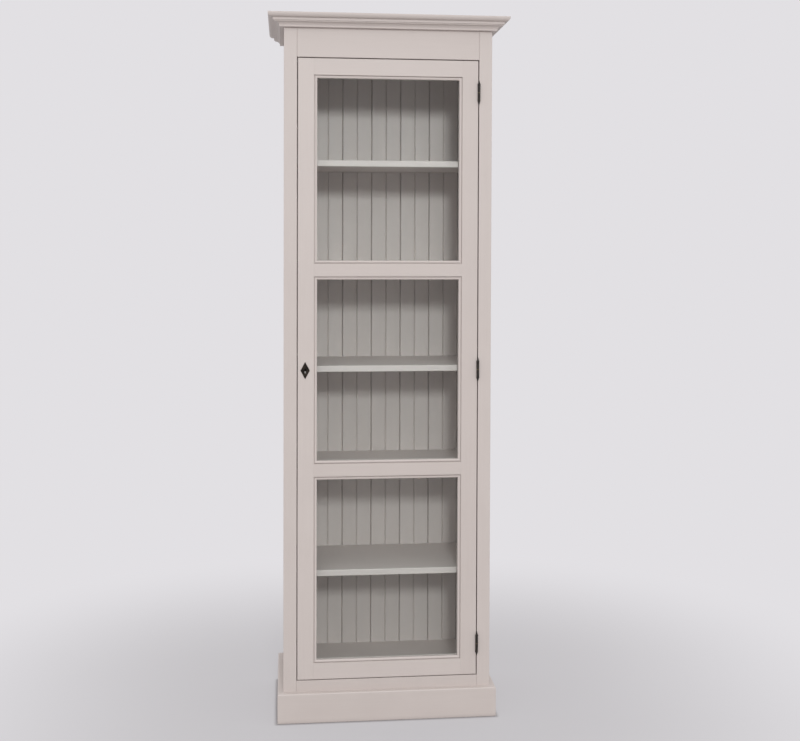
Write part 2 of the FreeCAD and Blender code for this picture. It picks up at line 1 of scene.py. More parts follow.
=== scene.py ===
import bpy
import numpy as np
from mathutils import Matrix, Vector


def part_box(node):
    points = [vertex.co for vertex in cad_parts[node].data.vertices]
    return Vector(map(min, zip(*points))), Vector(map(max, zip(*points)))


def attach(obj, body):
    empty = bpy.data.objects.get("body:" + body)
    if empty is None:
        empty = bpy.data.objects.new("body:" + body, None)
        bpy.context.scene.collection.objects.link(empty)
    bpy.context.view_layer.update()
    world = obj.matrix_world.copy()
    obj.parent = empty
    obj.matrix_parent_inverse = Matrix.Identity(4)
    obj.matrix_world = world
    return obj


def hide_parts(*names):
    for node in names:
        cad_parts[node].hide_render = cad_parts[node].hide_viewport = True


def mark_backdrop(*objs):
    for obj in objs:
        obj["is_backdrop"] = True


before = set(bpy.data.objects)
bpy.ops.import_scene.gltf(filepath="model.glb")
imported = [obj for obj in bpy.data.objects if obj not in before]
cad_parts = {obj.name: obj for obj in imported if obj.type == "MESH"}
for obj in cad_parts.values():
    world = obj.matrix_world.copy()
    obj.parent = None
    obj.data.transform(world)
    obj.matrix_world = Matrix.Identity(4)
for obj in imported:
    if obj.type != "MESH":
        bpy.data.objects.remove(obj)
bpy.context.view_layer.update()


# Side panels. Two full-height boards of painted timber that stand behind the posts of the face
# frame; the back edge of each is rebated for the lining, and the shelves, the plinth and the
# cornice are fixed to them.

class Wire:
    """A socket of a node tree. Sums, differences and products of wires and numbers add Math nodes."""

    def __init__(self, tree, socket=None):
        self.tree, self.socket = tree, socket

    def add(self, kind, settings=(), sockets=(), output=0):
        """One node of any type: its settings first, then a value or a wire for each socket, by its
        name or its place."""
        node = self.tree.nodes.new("ShaderNode" + kind)
        for name, value in dict(settings).items():
            setattr(node, name, value)
        for name, value in dict(sockets).items():
            if isinstance(value, Wire):
                self.tree.links.new(value.socket, node.inputs[name])
            else:
                node.inputs[name].default_value = value
        return Wire(self.tree, node.outputs[output] if node.outputs else None)

    def maths(self, operation, first, second):
        """One Math node on two wires or numbers."""
        return self.add("Math", {"operation": operation}, {0: first, 1: second})

    def __add__(self, other):
        return self.maths("ADD", self, other)

    __radd__ = __add__

    def __sub__(self, other):
        return self.maths("SUBTRACT", self, other)

    def __rsub__(self, other):
        return self.maths("SUBTRACT", other, self)

    def __mul__(self, other):
        return self.maths("MULTIPLY", self, other)

    __rmul__ = __mul__

    def either(self, other):
        """The larger of two values."""
        return self.maths("MAXIMUM", self, other)

    def places(self):
        """Places on the object, in metres."""
        return self.add("TexCoord", {}, {}, "Object")

    def stored(self, name):
        """A value that is kept at the points of the mesh."""
        return self.add("Attribute", {"attribute_name": name}, {}, "Fac")

    def ray_is(self, kind):
        """1 for the rays of one kind, 0 for the others."""
        return self.add("LightPath", {}, {}, "Is " + kind + " Ray")

    def drawn_out(self, along, share):
        """These places with one axis shortened to a share, so that noise on them runs along it."""
        scale = [1.0, 1.0, 1.0]
        scale[along] = share
        return self.add("Mapping", {}, {"Vector": self, "Scale": scale})

    def noise(self, scale, detail):
        """Fractal noise at these places, about 0.5 on average, with scale features to a metre."""
        return self.add("TexNoise", {}, {
            "Vector": self, "Scale": scale, "Detail": detail, "Roughness": 0.55})

    def between(self, low, high):
        """0 where the value is under low, 1 where it is over high, and a smooth climb between."""
        return self.add("MapRange", {"interpolation_type": "SMOOTHSTEP"},
                        {"Value": self, "From Min": low, "From Max": high})

    def blend(self, first, second):
        """A colour mixed from two by this factor."""
        return self.add("Mix", {"data_type": "RGBA"}, {0: self, 6: first, 7: second}, 2)

    def bump(self, depth):
        """Surface normals of a relief with this height, where 1 stands for depth in metres."""
        return self.add("Bump", {}, {"Height": self, "Strength": 1.0, "Distance": depth})


def finish_for(name):
    """An empty material, and a wire of its node tree to start from."""
    material = bpy.data.materials.new(name)
    material.use_nodes = True
    material.node_tree.nodes.clear()
    return material, Wire(material.node_tree)


def rgb(red, green, blue):
    """A solid colour."""
    return (red, green, blue, 1.0)


def brushed_paint(name, along):
    """Satin paint brushed out along one axis (0, 1 or 2). Noise drawn out along that axis gives the
    brush marks, wide noise the uneven coat; the coat is thin and pale on arrises. Hollows are
    darkened with a painted shade, and the foot is darker in patches just above the floor."""
    coat_dark, coat_light = rgb(0.588, 0.524, 0.498), rgb(0.650, 0.586, 0.560)
    arris_pale, hollow_shade_colour = rgb(0.72, 0.665, 0.645), rgb(0.40, 0.345, 0.32)
    floor_band_dark, speck_dark = rgb(0.43, 0.385, 0.365), rgb(0.52, 0.46, 0.43)
    stroke_share, floor_band_high, relief_deep = 0.035, 0.012, 0.00012
    material, start = finish_for(name)
    place = start.places()
    height = start.add("SeparateXYZ", {}, {0: place}, 2)
    strokes = place.drawn_out(along, stroke_share)
    hairs = strokes.noise(scale=1400.0, detail=2.0)
    laps = strokes.noise(scale=170.0, detail=3.0)
    cloud = place.noise(scale=7.0, detail=3.0)
    specks = place.noise(scale=520.0, detail=1.0).between(0.70, 0.78)
    eased, tone = start.stored("eased"), start.stored("tone")
    coat = (cloud - 0.5) * 0.5 + (laps - 0.5) * 0.35 + (hairs - 0.5) * 0.3 + tone * 0.16 + 0.5
    colour = coat.between(0.0, 1.0).blend(coat_dark, coat_light)
    rubbed = eased.between(0.15, 1.0) * (laps * 0.5 + 0.5)
    colour = (rubbed * 0.4).blend(colour, arris_pale)
    # Painted shade: hollow arcs, where the easing is below zero, are blended towards a dark colour.
    hollow_shade = (0.0 - eased).between(0.1, 1.0) * 0.35
    colour = hollow_shade.blend(colour, hollow_shade_colour)
    # Darker in cloudy patches over the lowest 12 mm above the floor.
    floor_band = (1.0 - height.between(0.0, floor_band_high)) * (cloud * 0.5 + 0.1)
    colour = floor_band.blend(colour, floor_band_dark)
    colour = (specks * 0.25).blend(colour, speck_dark)
    relief = hairs * 0.35 + laps * 0.65 + specks * 0.3
    surface = start.add("BsdfPrincipled", {}, {
        "Base Color": colour,
        "Roughness": 0.40 + laps * 0.12 + cloud * 0.08 - rubbed * 0.06,
        "Specular IOR Level": 0.45,
        "Normal": relief.bump(relief_deep),
    })
    start.add("OutputMaterial", {}, {"Surface": surface})
    return material


paint_up = brushed_paint("paint_brushed_up", 2)


def contour(corners, ease, sides=4):
    """A closed outline with eased corners. A corner that turns by more than the gentlest angle
    becomes an arc of radius ease touching both sides; a gentler one keeps its place and the mean of
    both normals. Gives the points, the outward normals, and the easing: 1 in the middle of a convex
    arc, -1 in a hollow one, 0 on the flats."""
    gentlest, most_of_side = np.radians(25), 0.45
    points = np.asarray(corners, float)
    ease = np.broadcast_to(np.asarray(ease, float), len(points))
    after = np.roll(points, -1, axis=0)
    if np.sum(points[:, 0] * after[:, 1] - after[:, 0] * points[:, 1]) < 0:
        points, ease = points[::-1], ease[::-1]
    step = np.roll(points, -1, axis=0) - points
    length = np.linalg.norm(step, axis=1)
    ahead = step / length[:, None]
    behind = np.roll(ahead, 1, axis=0)
    turn = np.arctan2(behind[:, 0] * ahead[:, 1] - behind[:, 1] * ahead[:, 0],
                      np.sum(behind * ahead, axis=1))
    sharp = np.abs(turn) > gentlest
    half = np.tan(np.abs(np.where(sharp, turn, 1.0)) / 2)
    cut = np.minimum(ease * half, most_of_side * np.minimum(length, np.roll(length, 1)))
    radius = np.sign(turn) * cut / half
    share = np.linspace(0, 1, sides + 1)
    angle = turn[:, None] * np.where(sharp[:, None], share, 0.5)
    right = np.stack([behind[:, 1], -behind[:, 0]], axis=1)
    side = np.stack([-right[:, 1], right[:, 0]], axis=1)
    normals = np.cos(angle)[..., None] * right[:, None] + np.sin(angle)[..., None] * side[:, None]
    centre = points - behind * cut[:, None] - radius[:, None] * right
    arcs = centre[:, None] + radius[:, None, None] * normals
    arcs = np.where(sharp[:, None, None], arcs, points[:, None])
    eased = np.where(sharp, np.sign(turn), 0.0)[:, None] * np.sin(np.pi * share)
    kept = sharp[:, None] | (share == 0)
    return arcs[kept], normals[kept], eased[kept]


def tube(rings, normals, eased, kept=True, ends=True):
    """Rings of points with the normals and the easing at each point, which of the faces between
    them are kept, and whether the first and the last ring are closed."""
    count, around = rings.shape[:2]
    return (rings, normals, np.broadcast_to(eased, (count, around)),
            np.broadcast_to(kept, (count - 1, around)), ends)


def sweep(outline, axis, low, high, ease=0.0, sides=3):
    """Carries an outline along an axis from low to high, which may differ from point to point as at
    a mitre. With ease, rings at both ends draw in by ease * (1 - cos) while they move out by
    ease * sin of a quarter turn. The outline lies in the two axes that follow the axis in the order
    X, Y, Z, X, Y."""
    points, normals, eased = outline
    turn = np.linspace(0, np.pi / 2, sides + 1) if ease else np.zeros(1)
    lean = np.concatenate([turn[::-1], turn])[:, None]
    outward = np.repeat([-1.0, 1.0], len(turn))[:, None]
    end = np.where(outward < 0, np.asarray(low, float), np.asarray(high, float))
    rings = np.empty((len(lean), len(points), 3))
    facing = np.empty_like(rings)
    for place, plane in ((0, (axis + 1) % 3), (1, (axis + 2) % 3)):
        rings[..., plane] = points[:, place] - ease * (1 - np.cos(lean)) * normals[:, place]
        facing[..., plane] = np.cos(lean) * normals[:, place]
    rings[..., axis] = end - outward * ease * (1 - np.sin(lean))
    facing[..., axis] = outward * np.sin(lean)
    return tube(rings, facing, np.clip(eased + np.sin(2 * lean), -1, 1))


tones = np.random.default_rng(11)


def piece(name, tubes, material, body, slot, *nodes, flat=False):
    """One mesh made of tubes. Each ring is joined to the next by four-sided faces, and closed ends
    get a flat face each; the normals are those of the exact surface, or with flat those of the
    faces. Each piece gets its own tone of the coat."""
    places, easing, faces, facing, base = [], [], [], [], 0
    for rings, normals, eased, kept, ends in tubes:
        count, around = rings.shape[:2]
        number = np.arange(count * around).reshape(count, around)
        onward = np.roll(number, -1, axis=1)
        quads = np.stack([number[:-1], onward[:-1], onward[1:], number[1:]], axis=2)[kept]
        faces += (quads + base).tolist()
        facing.append(normals.reshape(-1, 3)[quads].reshape(-1, 3))
        for ring, order in ((0, -1), (-1, 1)) if ends else ():
            loop = rings[ring][::order]
            normal = np.cross(loop, np.roll(loop, -1, axis=0)).sum(axis=0)
            faces.append((number[ring][::order] + base).tolist())
            facing.append(np.tile(normal / np.linalg.norm(normal), (around, 1)))
        places.append(rings.reshape(-1, 3))
        easing.append(eased.ravel())
        base += count * around
    mesh = bpy.data.meshes.new(name)
    mesh.from_pydata(np.concatenate(places), [], faces)
    mesh.polygons.foreach_set("use_smooth", np.full(len(faces), not flat))
    if not flat:
        mesh.normals_split_custom_set(np.concatenate(facing))
    stored = {"eased": np.concatenate(easing), "tone": np.full(base, tones.uniform(-1, 1))}
    for label, values in stored.items():
        mesh.attributes.new(label, "FLOAT", "POINT").data.foreach_set("value", values)
    mesh.materials.append(material)
    made = bpy.data.objects.new(name, mesh)
    bpy.context.scene.collection.objects.link(made)
    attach(made, body)
    if nodes:
        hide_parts(*nodes)
    return made


def corners_of(node):
    """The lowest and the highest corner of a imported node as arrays."""
    return tuple(np.array(corner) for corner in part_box(node))


lining_low, lining_high = corners_of("back_board_1")
lining_thick = lining_high[1] - lining_low[1]
rebate_wide, panel_arris, panel_end = 0.009, 0.0009, 0.0008
for hand, node in ((1, "left_side_panel"), (-1, "right_side_panel")):
    low, high = corners_of(node)
    outer, inner = (low[0], high[0])[::hand]
    step_in, step_back = inner - hand * rebate_wide, high[1] - lining_thick
    section = [(outer, low[1]), (inner, low[1]), (inner, step_back), (step_in, step_back),
               (step_in, high[1]), (outer, high[1])]
    board = sweep(contour(section, panel_arris), 2, low[2], high[2], panel_end)
    piece(node + "_painted", [board], paint_up, "carcass", "paint", node)


# Top and bottom boards. Flat painted boards that tie the sides together; the top one covers the
# whole body and shows inside the ring of the cornice, the bottom one is the floor of the lowest
# compartment.

def rectangle(low, high):
    """The four corners of a rectangle, in turn."""
    return [(low[0], low[1]), (high[0], low[1]), (high[0], high[1]), (low[0], high[1])]


def plank(node, along, arris, end):
    """A board that fills a node's box: its rectangle, with eased arrises, swept along one axis."""
    low, high = corners_of(node)
    plane = [(along + 1) % 3, (along + 2) % 3]
    outline = contour(rectangle(low[plane], high[plane]), arris)
    return sweep(outline, along, low[along], high[along], end)


paint_across = brushed_paint("paint_brushed_across", 0)
board_arris, board_end = 0.0012, 0.001
for node in ("top_board", "bottom_board"):
    piece(node + "_painted", [plank(node, 0, board_arris, board_end)],
          paint_across, "carcass", "paint", node)


# Lining. Seven upright boards of painted softwood, tongued and grooved; each has a V along its
# joints and, but for the narrow last one, another V down its middle. They are nailed into the
# rebates of the sides.

board_count = 7
vee, vee_deep, tongue_reach, lining_arris = 0.0018, 0.0040, 0.005, 0.0006
low, high = corners_of("back_board_2")
board_wide = high[0] - low[0] - tongue_reach
for number in range(1, board_count + 1):
    node = "back_board_%d" % number
    low, high = corners_of(node)
    first, last = number == 1, number == board_count
    left, face = low[0], low[1]
    right = high[0] - (0 if last else tongue_reach)
    middle = right - board_wide / 2
    section = [(left if first else left + vee, face)]
    if last:
        section += [(right, face)]
    else:
        section += [(middle - vee, face), (middle, face + vee_deep), (middle + vee, face),
                    (right - vee, face), (right, face + vee_deep)]
    section += [(right, high[1]), (left, high[1])]
    section += [] if first else [(left, face + vee_deep)]
    board = sweep(contour(section, lining_arris), 2, low[2], high[2], lining_arris)
    piece("lining_board_%d" % number, [board], paint_up, "carcass", "paint", node)


# Face frame. Two posts with a frieze rail and a lower rail between them, butted and dowelled, so
# that a fine line shows at each joint; a batten behind the frieze is the stop that the door closes
# against.

arris, butt_ease = 0.0012, 0.0015
for node in ("left_post", "right_post"):
    piece(node + "_painted", [plank(node, 2, arris, arris)], paint_up, "carcass", "paint", node)
for node in ("frieze_rail", "lower_rail", "door_stop"):
    piece(node + "_painted", [plank(node, 0, arris, butt_ease)],
          paint_across, "carcass", "paint", node)


# Plinth. A plain board in three lengths, mitred at the front corners and nailed round the foot of
# the body, with its top edge rounded over.

paint_back = brushed_paint("paint_brushed_back", 1)
half_body = corners_of("right_side_panel")[1][0]
front = corners_of("left_post")[0][1]


def wrapped(name, profile, foot, ease):
    """Three lengths of moulding round the front and the sides. The profile's corners are (reach,
    height); the front length runs along X and the returns along Y, each cut at the mitre where its
    reach meets the other's."""
    reach, height = np.asarray(profile, float).T
    back = corners_of("left_side_panel")[1][1]
    face = contour(np.stack([front - reach, foot + height], axis=1), ease)
    corner = half_body + front - face[0][:, 0]
    piece(name + "_front_length", [sweep(face, 0, -corner, corner)],
          paint_across, "carcass", "paint", name + "_front")
    for hand, side in ((-1, "left"), (1, "right")):
        face = contour(np.stack([foot + height, hand * (half_body + reach)], axis=1), ease)
        corner = front + half_body - np.abs(face[0][:, 1])
        piece(name + "_" + side + "_length", [sweep(face, 1, corner, back)],
              paint_back, "carcass", "paint", name + "_" + side)


low, high = corners_of("plinth_front")
plinth_reach, plinth_high = front - low[1], high[2]
plinth_ease = [0.0003, 0.0022, 0.003, 0.0003]
wrapped("plinth", rectangle((0, 0), (plinth_reach, plinth_high)), 0.0, plinth_ease)


# Cornice. A moulding run from one length of timber and mitred round the top of the body: a fillet
# at the foot, a cove, a small bead, a deeper fillet and a rounded nosing under a flat top.

def arc(start, end, radius, count=9):
    """Points of an arc after its start, up to its end. A positive radius bends to the left; the
    middle lies off the chord by the root of the radius squared less half the chord squared."""
    start, end = np.array(start, float), np.array(end, float)
    chord = end - start
    left = np.array([-chord[1], chord[0]]) / np.linalg.norm(chord)
    rise = np.sqrt(radius ** 2 - chord @ chord / 4)
    centre = (start + end) / 2 + left * np.sign(radius) * rise
    first = np.arctan2(*(start - centre)[::-1])
    swing = (np.arctan2(*(end - centre)[::-1]) - first + np.pi) % (2 * np.pi) - np.pi
    angle = first + swing * np.linspace(0, 1, count + 1)[1:]
    return (centre + abs(radius) * np.stack([np.cos(angle), np.sin(angle)], axis=1)).tolist()


foot_edge, cove_top, cove_radius = (0.0120, 0.0040), (0.0235, 0.0122), 0.0122
bead_out, bead_top = 0.0255, 0.0146
fillet_out, fillet_foot, fillet_top = 0.0290, 0.0150, 0.0218
nosing_foot, nosing_top, nosing_radius = (0.0365, 0.0224), (0.0425, 0.0320), 0.01068
cornice_high, cornice_ease = 0.034, 0.0006
section = [(0, 0), (foot_edge[0], 0), foot_edge, *arc(foot_edge, cove_top, -cove_radius),
           (bead_out, cove_top[1]), (bead_out, bead_top),
           (fillet_out, fillet_foot), (fillet_out, fillet_top),
           nosing_foot, *arc(nosing_foot, nosing_top, nosing_radius),
           (nosing_top[0], cornice_high), (0, cornice_high)]
wrapped("cornice", section, corners_of("cornice_front")[0][2], cornice_ease)


# Shelves. Five loose boards with rounded front edges; each lies on two battens screwed to the
# sides, which are bevelled at the lower front corner so that they draw back from view.

shelf_nodes = ["shelf_%d" % number for number in range(1, 6)]
shelf_front, shelf_arris = 0.002, 0.0008
shelf_ease = [shelf_front, shelf_arris, shelf_arris, shelf_front]
for node in shelf_nodes:
    piece(node.replace("shelf", "shelf_board"), [plank(node, 0, shelf_ease, shelf_arris)],
          paint_across, "carcass", "paint", node)
batten_wide, batten_high, batten_bevel = 0.014, 0.018, 0.008
batten_arris, batten_end = 0.0008, 0.0006
low, high = corners_of("shelf_cleats")
battens = []
for node in shelf_nodes:
    seat = corners_of(node)[0][2]
    foot = seat - batten_high
    section = [(low[1] + batten_bevel, foot), (low[1], foot + batten_bevel), (low[1], seat),
               (high[1], seat), (high[1], foot)]
    battens += [sweep(contour(section, batten_arris), 0, left, left + batten_wide, batten_end)
                for left in (low[0], high[0] - batten_wide)]
piece("shelf_battens", battens, paint_back, "carcass", "paint", "shelf_cleats")


# Door sash. Two painted stiles that run the full height, with four rails between them; a moulding
# of a quirk and a low bead is mitred round each pane, with a rebate for the glass behind it. The
# lock stile is pierced for the key.

quirk_in, quirk_wide, quirk_deep, quirk_ease = 0.0082, 0.0027, 0.0048, 0.0004
bead_drop, bead_fall, bead_radius, bead_ease = 0.0008, 0.0022, 0.0119, 0.0010
seat_deep, rebate_lap, strip_sunk = 0.0100, 0.0070, 0.0005
low, high = corners_of("door_lock_stile")
door_face, door_back = low[1], high[1]
door_thick = door_back - door_face
# The strip's corners are (distance from the pane's edge, depth from the face); its root is let
# into the stile or the rail that carries it.
bead_start = (quirk_wide - quirk_in, bead_drop)
strip_root = -quirk_in - strip_sunk
strip = np.array([
    (strip_root, quirk_deep), (bead_start[0], quirk_deep), bead_start,
    *arc(bead_start, (0, bead_fall), bead_radius, count=4), (0, seat_deep),
    (-rebate_lap, seat_deep), (-rebate_lap, door_thick), (strip_root, door_thick)])
strip_ease = [0.0, quirk_ease, quirk_ease] + [bead_ease] * (len(strip) - 4) + [0.0]


def moulding(axis, edge, hand, near, far):
    """The moulded strip along one side of a pane, on an axis, with its inner edge at edge. It runs
    from near to far at that edge, and by as much further at each end as a point lies off the edge,
    which makes the mitres."""
    across, deep = edge + hand * strip[:, 0], door_face + strip[:, 1]
    outline = contour(np.stack([across, deep] if axis == 2 else [deep, across], axis=1), strip_ease)
    mitre = np.abs(outline[0][:, 0 if axis == 2 else 1] - edge)
    return sweep(outline, axis, near - mitre, far + mitre)


sash_rails = ("door_bottom_rail", "door_lower_mid_rail", "door_upper_mid_rail", "door_top_rail")
pane_heights = [(corners_of(below)[1][2], corners_of(above)[0][2])
                for below, above in zip(sash_rails, sash_rails[1:])]

# The key hole is a round eye with a slot above it, low in the middle of the escutcheon. A patch of
# the stile's face is left out for it, and a ring of faces joins the patch's edge to the hole.
key_round, key_slot, key_rise, key_drop, key_sides = 0.0036, 0.0017, 0.0095, 0.0045, 48
plate_low, plate_high = corners_of("escutcheon")
plate_middle = ((plate_low + plate_high) / 2)[[0, 2]]
plate_half = ((plate_high - plate_low) / 2)[[0, 2]]
key_middle = plate_middle - (0, key_drop)
patch_low, patch_high = np.array([-0.006, -0.008]), np.array([0.006, 0.014])
four_ways = np.array([(1, 0), (-1, 0), (0, 1), (0, -1)])


def bearings(points):
    """The angles at which points of the door's face lie, seen from the key hole's middle."""
    return np.arctan2(*np.asarray(points, float).T[::-1])


def reach_to(rays, edges, away):
    """How far each ray runs from the key hole's middle to the first of some straight edges that it
    heads for: the edge's distance over the product of the ray and the edge's normal."""
    heading = rays @ np.asarray(edges, float).T
    met = heading > 1e-9
    return np.where(met, away / np.where(met, heading, 1.0), np.inf).min(axis=1)


def key_fan(angles):
    """Rays at some angles from the key hole's middle, and how far along each the hole's edge lies:
    on the round eye, or on the slot above it where that reaches further."""
    rays = np.stack([np.cos(angles), np.sin(angles)], axis=1)
    slot_reach = reach_to(rays, four_ways, (key_slot, key_slot, key_rise, 0.0))
    return rays, np.maximum(key_round, slot_reach)


def ring_at(rays, reach, depth):
    """A ring round the key hole's middle at these distances along the rays, and at this depth."""
    flat = key_middle + rays * reach[:, None]
    return np.stack([flat[:, 0], np.full(len(rays), depth), flat[:, 1]], axis=1)


shoulder = np.sqrt(key_round ** 2 - key_slot ** 2)
slot_corners = [(side, rise) for side in (key_slot, -key_slot) for rise in (key_rise, shoulder)]
key_angles = np.unique(np.concatenate([
    np.linspace(-np.pi, np.pi, key_sides + 1)[1:], bearings(rectangle(patch_low, patch_high)),
    bearings(slot_corners)]))
rays, key_reach = key_fan(key_angles)
patch_away = patch_high[0], -patch_low[0], patch_high[1], -patch_low[1]
patch_reach = reach_to(rays, four_ways, patch_away)
toward_face = np.tile([0.0, -1.0, 0.0], (len(rays), 1))
toward_hole = -np.insert(rays, 1, 0, axis=1)
pierced = tube(np.array([ring_at(rays, patch_reach, door_face), ring_at(rays, key_reach, door_face),
                         ring_at(rays, key_reach, door_face), ring_at(rays, key_reach, door_back)]),
               np.array([toward_face, toward_face, toward_hole, toward_hole]),
               0.0, kept=[[True], [False], [True]], ends=False)

for hand, node in ((1, "door_lock_stile"), (-1, "door_hinge_stile")):
    low, high = corners_of(node)
    outer, inner = (low[0], high[0])[::hand]
    core = inner - hand * quirk_in
    pierce = node == "door_lock_stile"
    marks = [(key_middle[0] + side[0], door_face) for side in (patch_low, patch_high) if pierce]
    outline = contour([(outer, door_face), *marks, (core, door_face), (core, door_back),
                       (outer, door_back)],
                      [arris] + [0.0] * len(marks) + [quirk_ease, quirk_ease, arris])
    stile = sweep(outline, 2, low[2], high[2], arris)
    tubes = [stile]
    if pierce:
        half = len(stile[0]) // 2
        rings, normals, eased = (np.insert(grid, [half, half], grid[half - 1], axis=0)
                                 for grid in stile[:3])
        rings[half:half + 2, :, 2] = key_middle[1] + np.array([[patch_low[1]], [patch_high[1]]])
        kept = np.ones((len(rings) - 1, rings.shape[1]), bool)
        kept[half, np.argmin(np.linalg.norm(outline[0] - marks[0], axis=1))] = False
        tubes = [tube(rings, normals, eased, kept), pierced]
    tubes += [moulding(2, inner, hand, *heights) for heights in pane_heights]
    piece(node + "_painted", tubes, paint_up, "door", "paint", node)

for node in sash_rails[::-1]:
    low, high = corners_of(node)
    sides = low[0] + quirk_in, high[0] - quirk_in
    foot, head = low[2], high[2]
    strips, ease = [], [arris] * 4
    if node != sash_rails[0]:
        strips.append(moulding(0, low[2], -1, *sides))
        foot, ease[:2] = low[2] + quirk_in, [quirk_ease] * 2
    if node != sash_rails[-1]:
        strips.append(moulding(0, high[2], 1, *sides))
        head, ease[2:] = high[2] - quirk_in, [quirk_ease] * 2
    core = sweep(contour(rectangle((door_face, foot), (door_back, head)), ease), 0, low[0], high[0])
    piece(node + "_painted", [core, *strips], paint_across, "door", "paint", node)


# Glass. Three panes of clear float glass, four millimetres thick, bedded in the rebates of the
# sash; they are a little green through the thickness and faintly marked from wiping.

def pane_glass():
    """Clear glass that bends the view a very little, with streaks of noise as wiping marks. Rays of
    lamp light and of soft light pass straight through a faint tint."""
    body_tint, light_tint = rgb(0.968, 0.988, 0.985), rgb(0.950, 0.976, 0.974)
    weak_mirror, ripple_deep = rgb(0.35, 0.35, 0.35), 0.0015
    material, start = finish_for("pane_glass")
    place = start.places()
    wiped = start.add("Mapping", {}, {
        "Vector": place, "Rotation": (0.0, 0.5, 0.0), "Scale": (1.0, 1.0, 0.2)})
    marks = wiped.noise(scale=16.0, detail=4.0).between(0.52, 0.75)
    ripple = place.noise(scale=5.0, detail=1.0)
    clear = start.add("BsdfPrincipled", {}, {
        "Base Color": body_tint, "Transmission Weight": 1.0, "IOR": 1.5,
        "Specular Tint": weak_mirror, "Roughness": marks * 0.03,
        "Normal": ripple.bump(ripple_deep)})
    tint = start.add("BsdfTransparent", {}, {"Color": light_tint})
    passing = start.ray_is("Shadow").either(start.ray_is("Diffuse"))
    surface = start.add("MixShader", {}, {0: passing, 1: clear, 2: tint})
    start.add("OutputMaterial", {}, {"Surface": surface})
    return material


levels = ("top", "middle", "bottom")
pane = pane_glass()
for level in levels:
    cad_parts["glass_pane_" + level].data.materials[0] = pane


# Glazing beads. Four painted strips behind each pane, mitred at the corners and pinned into the
# rebate, with a bevel on the inner corner.

glazing_wide, glazing_bevel, glazing_arris = 0.007, 0.003, 0.0004
for level in levels:
    low, high = corners_of("glazing_beads_" + level)
    strips = []
    for axis, across in ((0, 2), (2, 0)):
        for hand, outer in ((1, low[across]), (-1, high[across])):
            inner = outer + hand * glazing_wide
            section = np.array([
                (low[1], outer), (low[1], inner), (high[1] - glazing_bevel, inner),
                (high[1], inner - hand * glazing_bevel), (high[1], outer)])
            outline = contour(section if axis == 0 else section[:, ::-1], glazing_arris)
            mitre = np.abs(outline[0][:, 1 if axis == 0 else 0] - outer)
            strips.append(sweep(outline, axis, low[axis] + mitre, high[axis] - mitre))
    piece("glazing_strips_" + level, strips, paint_up, "door", "paint", "glazing_beads_" + level)


# Hinges. Three lift-off finial hinges of dark bronzed iron: the lower knuckle holds the pin and its
# leaf is screwed to the post, the upper knuckle drops over the pin and its leaf is screwed to the
# door's edge. A brass washer runs between them.

def dark_iron(name, sheen):
    """Bronzed iron, nearly black. Noise gives worn brown patches; arrises are rubbed to bare metal
    here and there, and the sheen is the strength of the mirror on the rest."""
    iron_black, iron_brown = rgb(0.014, 0.011, 0.009), rgb(0.034, 0.026, 0.020)
    iron_bare, relief_deep = rgb(0.16, 0.125, 0.10), 0.00008
    material, start = finish_for(name)
    place = start.places()
    cloud = place.noise(scale=90.0, detail=4.0)
    grain = place.noise(scale=1500.0, detail=2.0)
    worn = start.stored("eased").between(0.4, 1.0) * cloud.between(0.45, 0.65)
    colour = cloud.between(0.35, 0.7).blend(iron_black, iron_brown)
    colour = (worn * 0.6).blend(colour, iron_bare)
    surface = start.add("BsdfPrincipled", {}, {
        "Base Color": colour, "Metallic": 0.35 + worn * 0.5,
        "Roughness": 0.36 + cloud * 0.22 - worn * 0.1, "Specular IOR Level": sheen,
        "Normal": (grain * 0.6 + cloud).bump(relief_deep)})
    start.add("OutputMaterial", {}, {"Surface": surface})
    return material


def plain_metal(name, pale, dull, rough, along):
    """Drawn metal with fine lines along one axis, dulled in soft patches and a little rougher
    there."""
    line_share, relief_deep = 0.02, 0.00004
    material, start = finish_for(name)
    place = start.places()
    lines = place.drawn_out(along, line_share).noise(scale=2600.0, detail=2.0)
    cloud = place.noise(scale=120.0, detail=3.0)
    colour = (cloud * 0.7 + lines * 0.3).between(0.3, 0.7).blend(dull, pale)
    surface = start.add("BsdfPrincipled", {}, {
        "Base Color": colour, "Metallic": 1.0, "Roughness": rough + lines * 0.12 - cloud * 0.1,
        "Normal": (lines + cloud * 0.5).bump(relief_deep)})
    start.add("OutputMaterial", {}, {"Surface": surface})
    return material


iron = dark_iron("dark_bronzed_iron", 0.5)
brass = plain_metal("dull_brass", rgb(0.36, 0.26, 0.13), rgb(0.20, 0.145, 0.08), 0.42, 0)


def turned(corners, ease, centre, axis=2, around=32):
    """A profile of (radius, height) corners, first and last on the axis, turned about it. The points
    at the axis are dropped, and the pinhole that is left there is closed flat."""
    pinhole = 1e-5
    points, normals, eased = contour(corners, ease)
    kept = points[:, 0] > pinhole
    points, normals, eased = points[kept], normals[kept], eased[kept]
    angle = np.linspace(0, 2 * np.pi, around, endpoint=False)
    rings, facing = np.empty((len(points), around, 3)), np.empty((len(points), around, 3))
    for plane, wave in (((axis + 1) % 3, np.cos(angle)), ((axis + 2) % 3, np.sin(angle))):
        rings[..., plane] = points[:, :1] * wave
        facing[..., plane] = normals[:, :1] * wave
    rings[..., axis], facing[..., axis] = points[:, 1:], normals[:, 1:]
    return tube(rings + np.asarray(centre), facing, eased[:, None])


turns = np.random.default_rng(5)


